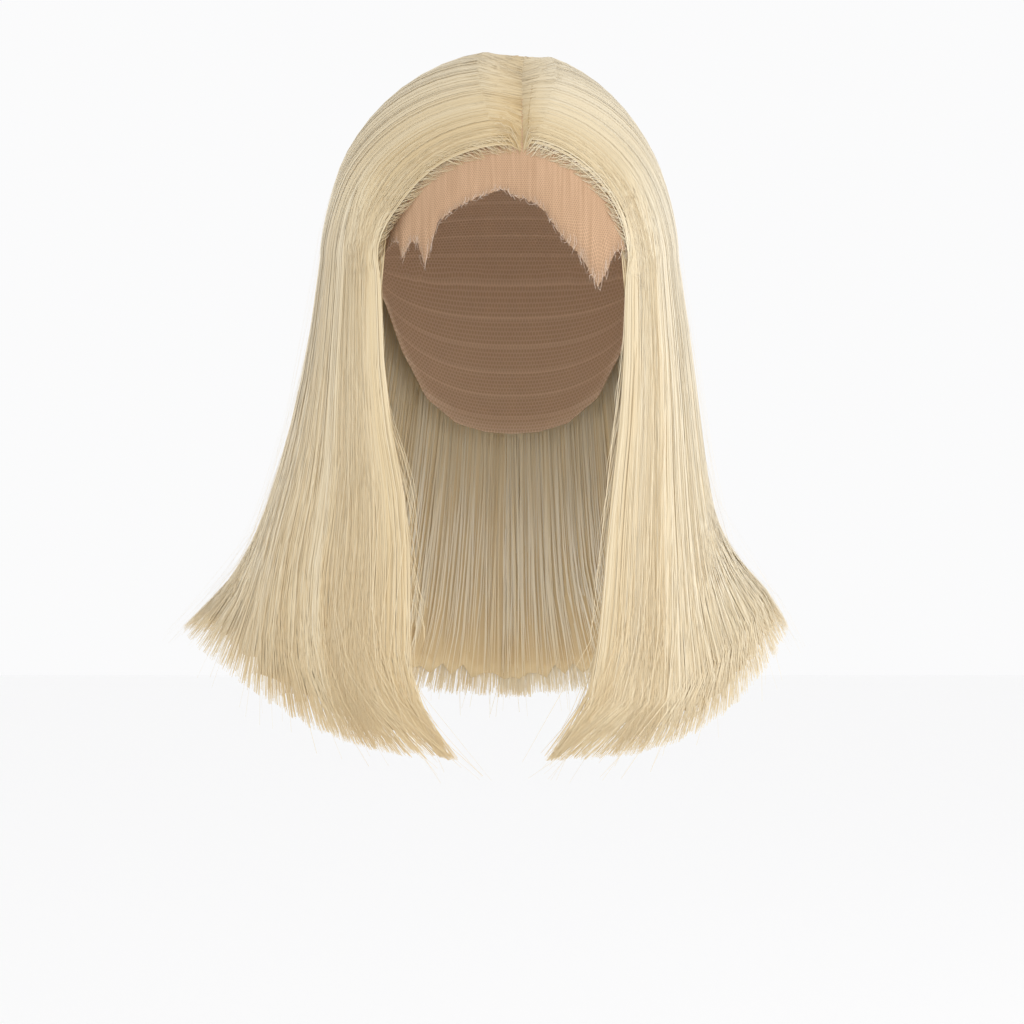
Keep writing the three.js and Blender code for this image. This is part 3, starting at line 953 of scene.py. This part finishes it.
def build_hair_colour():
    """A group that turns a tint, a place and a streak size into a colour, a roughness and a height."""
    inputs = [
        ("Place", "NodeSocketVector", None),
        ("Tint", FLOAT, 0.5),
        ("Streaks", FLOAT, 1500.0),
        ("Contrast", FLOAT, 0.3),
    ]
    outputs = [("Colour", "NodeSocketColor"), ("Roughness", FLOAT), ("Height", FLOAT)]
    tree, given, result = tree_with("hair_colour", inputs, outputs, "ShaderNodeTree")
    parts = node(tree, "ShaderNodeSeparateXYZ")
    wire(tree, given["Place"], parts.inputs[0])
    along = parts.outputs["Y"]
    across = times(tree, parts.outputs["X"], given["Streaks"])
    grain = vector(tree, across, times(tree, along, 5.0))
    streak = noise(tree, grain, 1.0, 3.0, 0.6)
    centred = minus(tree, streak, 0.5)
    # Near the crown the streaks are stronger, and the tint and the colour are darker there: painted shade.
    crown = fade(tree, along, 0.55, 0.3)
    strength = times(tree, given["Contrast"], plus(tree, crown, 1.0))
    tint = times_plus(tree, centred, strength, given["Tint"])
    # A deeper tint at the roots, and painted shade at the tips and on the crown.
    ends = plus(tree, fade(tree, along, 0.1, 0.0), fade(tree, along, 0.65, 1.1))
    ends = times_plus(tree, crown, CROWN_PAINTED_SHADE_SHARE, ends)
    tint = times_plus(tree, ends, -DEEPER_ROOTS_AND_PAINTED_SHADE, tint)
    shaded = {0: ramp(tree, tint, HAIR_TINTS), "Scale": blend(tree, 1.0, CROWN_PAINTED_SHADE, crown)}
    wire(tree, fed(tree, "ShaderNodeVectorMath", shaded, operation="SCALE"), result["Colour"])
    wire(tree, times_plus(tree, centred, 0.25, 0.42), result["Roughness"])
    wire(tree, streak, result["Height"])
    return tree


def material_named(name):
    material = bpy.data.materials.new(name)
    material.use_nodes = True
    return material, material.node_tree, material.node_tree.nodes["Principled BSDF"]


hair_colour = build_hair_colour()


def hair_material(name, streaks, contrast, own_tint, relief):
    material, tree, shader = material_named(name)
    place = node(tree, "ShaderNodeUVMap", uv_map="OFBake").outputs["UV"]
    colour = node(tree, "ShaderNodeGroup", node_tree=hair_colour)
    wire(tree, place, colour.inputs["Place"])
    colour.inputs["Streaks"].default_value = streaks
    colour.inputs["Contrast"].default_value = contrast
    if own_tint:
        parts = node(tree, "ShaderNodeSeparateXYZ")
        wire(tree, place, parts.inputs[0])
        wire(tree, parts.outputs["X"], colour.inputs["Tint"])
    else:
        colour.inputs["Tint"].default_value = UNDER_TINT
    wire(tree, colour.outputs["Colour"], shader.inputs["Base Color"])
    wire(tree, colour.outputs["Roughness"], shader.inputs["Roughness"])
    bump = {"Height": colour.outputs["Height"], "Strength": relief, "Distance": 0.0003}
    wire(tree, fed(tree, "ShaderNodeBump", bump), shader.inputs["Normal"])
    shader.inputs["Specular IOR Level"].default_value = 0.5
    return material


strand_blonde = hair_material("strand_blonde", streaks=1100.0, contrast=0.32, own_tint=True, relief=0.15)
under_blonde = hair_material("under_blonde", streaks=420.0, contrast=0.4, own_tint=False, relief=0.3)
print("hair materials", strand_blonde.name, under_blonde.name)

# %% [markdown]
# ## Growing the locks
# The lock tree is put on an object with the flow sheet as a modifier, its inputs are set by their
# identifiers, and the evaluated result becomes a plain mesh. The object then goes, with its modifier.

# %% Locks
STRAND_WIDTH = 0.66 * MM
PER_SIDE = {"Long": 1740, "Short": 2640, "Inner": 560, "Stray": 110}
# The right side is paler than the left: painted light from the lamp, which stands to the right.
SIDE_PALE_WITH_PAINTED_LIGHT = {"left": 0.43, "right": 0.54}
LOCK_SEED_STEP = 1000
FRONT_ONLY = {"Hairline": 430, "Baby": 190, "Wisp": 40}


def grown(name, sheet, tree, inputs):
    """Runs a tree on a sheet and returns the result as a plain mesh."""
    carrier = bpy.data.objects.new(f"{name}_carrier", sheet)
    bpy.context.scene.collection.objects.link(carrier)
    modifier = carrier.modifiers.new("grow", "NODES")
    modifier.node_group = tree
    for item in tree.interface.items_tree:
        if item.in_out == "INPUT" and item.name in inputs:
            modifier[item.identifier] = inputs[item.name]
    evaluated = carrier.evaluated_get(bpy.context.evaluated_depsgraph_get())
    mesh = bpy.data.meshes.new_from_object(evaluated)
    bpy.data.objects.remove(carrier)
    mesh.name = name
    return mesh


triangles = {}


def shown(name, mesh, slot, *nodes):
    """Puts a mesh in the scene, with what it rides on, and hides the solids that it stands for. Its slot is
    not used.
    """
    piece = bpy.data.objects.new(name, mesh)
    bpy.context.scene.collection.objects.link(piece)
    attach(piece, "root")
    if nodes:
        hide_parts(*nodes)
    triangles[name] = sum(len(face.vertices) - 2 for face in mesh.polygons)
    print(name, triangles[name], "triangles, in all", sum(triangles.values()))
    return piece


seed = 0
for side_name, side in SIDES.items():
    for lock_name, (start, end) in LOCKS.items():
        inputs = {"Round From": start, "Round To": end, "Width": STRAND_WIDTH, "Seed": seed}
        inputs |= {"Pale": SIDE_PALE_WITH_PAINTED_LIGHT[side_name], "Material": strand_blonde}
        inputs |= {f"{kind} Strands": round(count * (end - start)) for kind, count in PER_SIDE.items()}
        if lock_name == "front":
            inputs |= {f"{kind} Strands": count for kind, count in FRONT_ONLY.items()}
        mesh = grown(f"strands_{side_name}_{lock_name}", sheets[side_name], lock_tree, inputs)
        shown(mesh.name, mesh, "hair", f"hair_{side_name}_{lock_name}")
        seed += LOCK_SEED_STEP
    under = under_mesh(f"under_{side_name}", side)
    under.materials.append(under_blonde)
    shown(under.name, under, "hair", *[f"hair_{side_name}_{lock_name}" for lock_name in LOCKS])

# %% [markdown]
# ## Lace and cap
# The base follows the head. Its front is lace: a sheer skin-coloured net that is cut in an arch over the
# forehead with a tail at each temple. Its back is a stretch net. Both are thin walls on the same rounded
# form, measured outwards from it, and run from the seam over the crown to their own lower edge.

# %% Base of the wig
EAR_END = 0.995
SEAM_GAP = 0.4
# Columns: across, down. Across is a share of the head's half breadth, down a share of its crown height.
LACE_EDGE = np.array(
    [
        [-0.995, 1.09], [-0.93, 1.06], [-0.84, 0.98], [-0.78, 0.96], [-0.75, 1.06], [-0.69, 0.97],
        [-0.64, 0.98], [-0.59, 1.1], [-0.5, 0.88], [-0.38, 0.81], [-0.25, 0.765], [-0.07, 0.715],
        [0.035, 0.76], [0.16, 0.79], [0.23, 0.84], [0.36, 0.985], [0.47, 1.06], [0.58, 1.21],
        [0.65, 1.12], [0.7, 1.02], [0.8, 1.0], [0.9, 1.06], [0.995, 1.09],
    ]
)
NAPE_EDGE = np.array(
    [
        [0.0, 1.92], [0.2, 1.91], [0.42, 1.86], [0.64, 1.72], [0.82, 1.45], [0.93, 1.2],
        [0.995, 1.09],
    ]
)


def base_points(across, down, direction, rows, *heights):
    """Grids of points at heights over the head, with their angle. rows go from the seam to the edge."""
    power = 2 / HEAD_FULLNESS
    across, rows = np.broadcast_arrays(across, rows[:, None])
    slice_size = (1 - np.abs(across) ** HEAD_FULLNESS) ** (1 / HEAD_FULLNESS)
    height = CROWN_HEIGHT * (1 - down)
    depth = np.where(height > 0, CROWN_HEIGHT, NAPE_DEPTH)
    start = np.arcsin((SEAM_GAP / 2 / (HEAD_HALF_LENGTH * slice_size)) ** (1 / power))
    end = np.arccos(np.clip(signed_power(height / (depth * slice_size), 1 / power), -1, 1))
    angle = mix(start, end, rows)
    up = signed_power(np.cos(angle), power)
    way = np.stack(
        [
            HEAD_HALF_BREADTH * across,
            direction * HEAD_HALF_LENGTH * slice_size * signed_power(np.sin(angle), power),
            np.where(up > 0, CROWN_HEIGHT, NAPE_DEPTH) * slice_size * up,
        ],
        -1,
    )
    length = np.linalg.norm(way, axis=-1, keepdims=True)
    return [way * (1 + height / length) + HEAD_MIDDLE for height in heights], angle


def base_wall(name, across, down, direction, rows, low, high):
    """A wall on the head from the seam to an edge, between two heights over the head."""
    (outer, inner), angle = base_points(across, down, direction, rows, high, low)
    coordinates = np.stack([np.broadcast_to(across, angle.shape) * 0.5 + 0.5, angle / math.pi], -1)
    near_edge = np.broadcast_to(rows[:, None], angle.shape)
    if direction < 0:
        outer, inner, coordinates = outer[:, ::-1], inner[:, ::-1], coordinates[:, ::-1]
    mesh = closed_wall(name, outer, inner, coordinates)
    kept = mesh.attributes.new("near_edge", "FLOAT", "POINT")
    kept.data.foreach_set("value", np.tile(near_edge.ravel(), 2))
    return mesh


LACE_COLUMNS = 301
CAP_COLUMNS = 121
LACE_ROWS = np.linspace(0, 1, 16)
CAP_ROWS = np.linspace(0, 1, 36)
LACE_WALL = (0.9, 1.15)
LACE_RAGGED = (-0.011, 0.005)
CAP_WALL = (0.3, BASE_WALL)
lace_across = np.sin(np.linspace(-1, 1, LACE_COLUMNS) * math.asin(EAR_END))
cap_across = np.sin(np.linspace(-1, 1, CAP_COLUMNS) * math.asin(EAR_END))
lace_down = np.interp(lace_across, LACE_EDGE[:, 0], LACE_EDGE[:, 1])
ragged = np.random.default_rng(7).uniform(*LACE_RAGGED, LACE_COLUMNS)
nape_down = np.interp(np.abs(cap_across), NAPE_EDGE[:, 0], NAPE_EDGE[:, 1])
lace_mesh = base_wall("lace_net", lace_across, lace_down + ragged, -1, LACE_ROWS, *LACE_WALL)
cap_mesh = base_wall("cap_net", cap_across, nape_down, 1, CAP_ROWS, *CAP_WALL)
print("faces of the lace", len(lace_mesh.polygons), "and of the cap", len(cap_mesh.polygons))

# %% [markdown]
# ## Nets and their materials
# Both nets have six-sided cells, which one group draws: it finds the nearest middle of a cell and tells
# how near the sides of the cell are. The lace is a fine net, and its body is a little see-through near
# the cut edge. The cap is a coarser one, crossed by rows of weft that run from side to side.

# %% Nets


def build_net():
    """A group that gives the threads of a net of six-sided cells, from a place in cells."""
    outputs = [("Thread", FLOAT)]
    inputs = [("Place", "NodeSocketVector", None), ("Thickness", FLOAT, 0.12)]
    tree, given, result = tree_with("net", inputs, outputs, "ShaderNodeTree")
    period = (1.0, math.sqrt(3), 1.0)
    half = (0.5, math.sqrt(3) / 2, 0.5)

    def from_nearest(shift):
        moved = fed(tree, "ShaderNodeVectorMath", {0: given["Place"], 1: shift}, operation="ADD")
        inside = fed(tree, "ShaderNodeVectorMath", {0: moved, 1: period}, operation="MODULO")
        return fed(tree, "ShaderNodeVectorMath", {0: inside, 1: half}, operation="SUBTRACT")

    def steps_to_side(offset):
        bare = fed(tree, "ShaderNodeVectorMath", {0: offset}, operation="ABSOLUTE")
        parts = node(tree, "ShaderNodeSeparateXYZ")
        wire(tree, bare, parts.inputs[0])
        slant = times(tree, parts.outputs["Y"], math.sqrt(3) / 2)
        slant = times_plus(tree, parts.outputs["X"], 0.5, slant)
        return most(tree, parts.outputs["X"], slant)

    far = (1000.0, 1000.0 * math.sqrt(3), 0.0)
    far_half = (1000.5, 1000.5 * math.sqrt(3), 0.0)
    steps = [steps_to_side(from_nearest(shift)) for shift in (far, far_half)]
    nearest = least(tree, *steps)
    edge = minus(tree, 0.5, given["Thickness"])
    wire(tree, fade(tree, nearest, edge, 0.5), result["Thread"])
    return tree


net = build_net()
print("net nodes", len(net.nodes))


def threads(tree, cell, thickness):
    """The threads of a net with cells of a size in millimetres, on a piece of the base."""
    place = node(tree, "ShaderNodeUVMap", uv_map="OFBake").outputs["UV"]
    size = (2 * HEAD_HALF_BREADTH / cell, math.pi * HEAD_HALF_LENGTH / cell, 0.0)
    scaled = fed(tree, "ShaderNodeVectorMath", {0: place, 1: size}, operation="MULTIPLY")
    made = node(tree, "ShaderNodeGroup", node_tree=net)
    wire(tree, scaled, made.inputs["Place"])
    made.inputs["Thickness"].default_value = thickness
    return place, made.outputs["Thread"]


# %% Lace and cap materials
LACE_CELL = 1.1
LACE_PULLS = (110.0, 9.0, 0.0)
CAP_CELL = 1.6
CAP_WEFTS = 34


def lace_material():
    material, tree, shader = material_named("sheer_lace")
    place, thread = threads(tree, LACE_CELL, 0.2)
    pulled = fed(tree, "ShaderNodeVectorMath", {0: place, 1: LACE_PULLS}, operation="MULTIPLY")
    pulls = noise(tree, pulled, 1.0, 2.0)
    edge = node(tree, "ShaderNodeAttribute", attribute_name="near_edge").outputs["Fac"]
    frayed = fade(tree, edge, 0.96, 1.0)
    sheer = blend(tree, 1.0, 0.74, fade(tree, edge, 0.6, 0.95))
    body = blend(tree, sheer, 1.0, thread)
    solid = times(tree, body, times_plus(tree, frayed, -0.3, 1.0))
    wire(tree, solid, shader.inputs["Alpha"])
    shade = plus(tree, times(tree, pulls, 0.7), times(tree, thread, 0.12))
    shade = times_plus(tree, frayed, 0.25, shade)
    tones = [(0.1, (0.50, 0.31, 0.18)), (0.6, (0.68, 0.445, 0.28)), (1.0, (0.82, 0.65, 0.50))]
    wire(tree, ramp(tree, shade, tones), shader.inputs["Base Color"])
    bump = {"Height": thread, "Strength": 0.2, "Distance": 0.0002}
    wire(tree, fed(tree, "ShaderNodeBump", bump), shader.inputs["Normal"])
    shader.inputs["Roughness"].default_value = 0.8
    shader.inputs["Specular IOR Level"].default_value = 0.2
    return material


def cap_material():
    material, tree, shader = material_named("stretch_net")
    place, thread = threads(tree, CAP_CELL, 0.3)
    parts = node(tree, "ShaderNodeSeparateXYZ")
    wire(tree, place, parts.inputs[0])
    rows = maths(tree, "SINE", times(tree, parts.outputs["Y"], 2 * math.pi * CAP_WEFTS))
    weft = fade(tree, rows, 0.8, 1.0)
    shade = times_plus(tree, weft, 0.3, times(tree, thread, 0.5))
    tones = [(0.0, (0.48, 0.32, 0.21)), (0.8, (0.68, 0.50, 0.36))]
    wire(tree, ramp(tree, shade, tones), shader.inputs["Base Color"])
    bump = {"Height": shade, "Strength": 0.4, "Distance": 0.0004}
    wire(tree, fed(tree, "ShaderNodeBump", bump), shader.inputs["Normal"])
    shader.inputs["Roughness"].default_value = 0.8
    return material


cap_mesh.materials.append(cap_material())
lace_mesh.materials.append(lace_material())
cap = shown("cap_net", cap_mesh, "cap_net", "cap")
lace = shown("lace_net", lace_mesh, "lace", "lace_front")


def half_area(mesh):
    """The area of a thin closed wall seen from one side, in square metres."""
    return sum(face.area for face in mesh.polygons) / 2


print("lace", round(half_area(lace_mesh), 4), "cap", round(half_area(cap_mesh), 4), "square metres")

# %% [markdown]
# ## The cut edge of the lace
# Lace that is cut by hand frays: pale ends of its threads stand out along the edge. The strand set makes
# them too. It only needs another flow sheet, a narrow one that follows the cut edge on the head. The
# threads then stand for the lace solid, as the lace does.

# %% Frayed threads
FRAY_ROWS = np.linspace(0.96, 1.02, 12)
FRAY_HEIGHT = 1.3
FRAY = OFF_HEAD | {
    "Points": 5,
    "Round From": 0.03,
    "Round To": 0.97,
    "Root From": 0.2,
    "Root To": 0.7,
    "Tip From": 0.6,
    "Tip To": 0.95,
    "Root Depth": 0.0001,
    "Depth From": -0.0004,
    "Depth To": 0.0002,
    "Sweep": 0.0,
    "Hairline Gap": 0.0,
    "Clumps": 150.0,
    "Clump Pull": 0.8,
    "Clump Depth": 0.0,
    "Wave": 0.006,
    "Width": 0.17 * MM,
    "Seed": 91,
}


def edge_sheet():
    (points,), _ = base_points(lace_across, lace_down, -1, FRAY_ROWS, FRAY_HEIGHT)
    u, v = np.meshgrid(np.linspace(0, 1, LACE_COLUMNS), np.linspace(0, 1, len(FRAY_ROWS)))
    return grid_mesh("flow_lace_edge", points, np.stack([u, v], -1), from_middle(points))


def fray_material():
    material, tree, shader = material_named("frayed_thread")
    place = node(tree, "ShaderNodeUVMap", uv_map="OFBake").outputs["UV"]
    tones = [(0.2, (0.66, 0.49, 0.37)), (0.8, (0.84, 0.73, 0.62))]
    wire(tree, ramp(tree, noise(tree, place, 60.0), tones), shader.inputs["Base Color"])
    shader.inputs["Roughness"].default_value = 0.7
    return material


def build_fray_tree():
    inputs = [("Sheet", GEOMETRY, None), ("Strands", INT, 300), ("Material", "NodeSocketMaterial", None)]
    tree, given, result = tree_with("frayed_edge", inputs, [("Geometry", GEOMETRY)])
    made = node(tree, "GeometryNodeGroup", node_tree=strand_set)
    wire(tree, given["Sheet"], made.inputs["Sheet"])
    wire(tree, given["Strands"], made.inputs["Strands"])
    for label, value in FRAY.items():
        made.inputs[label].default_value = value
    real = fed(tree, "GeometryNodeRealizeInstances", {"Geometry": made.outputs["Geometry"]})
    dressed = fed(tree, "GeometryNodeSetMaterial", {"Geometry": real, "Material": given["Material"]})
    wire(tree, dressed, result["Geometry"])
    return tree


fray_inputs = {"Strands": 110, "Material": fray_material()}
fray_mesh = grown("lace_threads", edge_sheet(), build_fray_tree(), fray_inputs)
fray = shown(fray_mesh.name, fray_mesh, "lace", "lace_front")

# %% [markdown]
# ## Light and floor
# Pale hair on white needs soft light that still has a side to it: a large lamp in front and to the right,
# a white world, and a floor well below the tips that throws light back up.

# %% Light and floor
FLOOR_HEIGHT = -0.62
KEY_PLACE = (1.75, -1.5, -0.2)
KEY_AIM = (0, 0, -0.2)
KEY_SIZE = 2.2
KEY_POWER = 23
FLOOR_SIZE = 12
STUDIO_WHITE = (0.965, 0.965, 0.97, 1)
FLOOR_WHITE = (0.97, 0.97, 0.97, 1)


def area_light(name, place, aim, size, power):
    data = bpy.data.lights.new(name, "AREA")
    data.size = size
    data.energy = power
    lamp = bpy.data.objects.new(name, data)
    lamp.location = place
    direction = np.array(aim) - np.array(place)
    yaw = math.atan2(direction[1], direction[0]) - math.pi / 2
    pitch = math.atan2(direction[2], math.hypot(direction[0], direction[1]))
    lamp.rotation_euler = (math.pi / 2 + pitch, 0, yaw)
    bpy.context.scene.collection.objects.link(lamp)
    return lamp


key = area_light("key", KEY_PLACE, KEY_AIM, KEY_SIZE, KEY_POWER)
print("lamp", key.data.energy, "W, turned to", KEY_AIM)

world = bpy.data.worlds.new("studio")
world.use_nodes = True
sky = world.node_tree.nodes["Background"]
sky.inputs["Color"].default_value = STUDIO_WHITE
sky.inputs["Strength"].default_value = 1.0
bpy.context.scene.world = world
bpy.context.scene.view_settings.view_transform = "Standard"

bpy.ops.mesh.primitive_plane_add(size=FLOOR_SIZE, location=(0, 0, FLOOR_HEIGHT))
floor = bpy.context.object
floor.name = "floor"
floor_material, floor_tree, floor_shader = material_named("pale_floor")
floor_shader.inputs["Base Color"].default_value = FLOOR_WHITE
floor_shader.inputs["Roughness"].default_value = 0.9
floor.data.materials.append(floor_material)
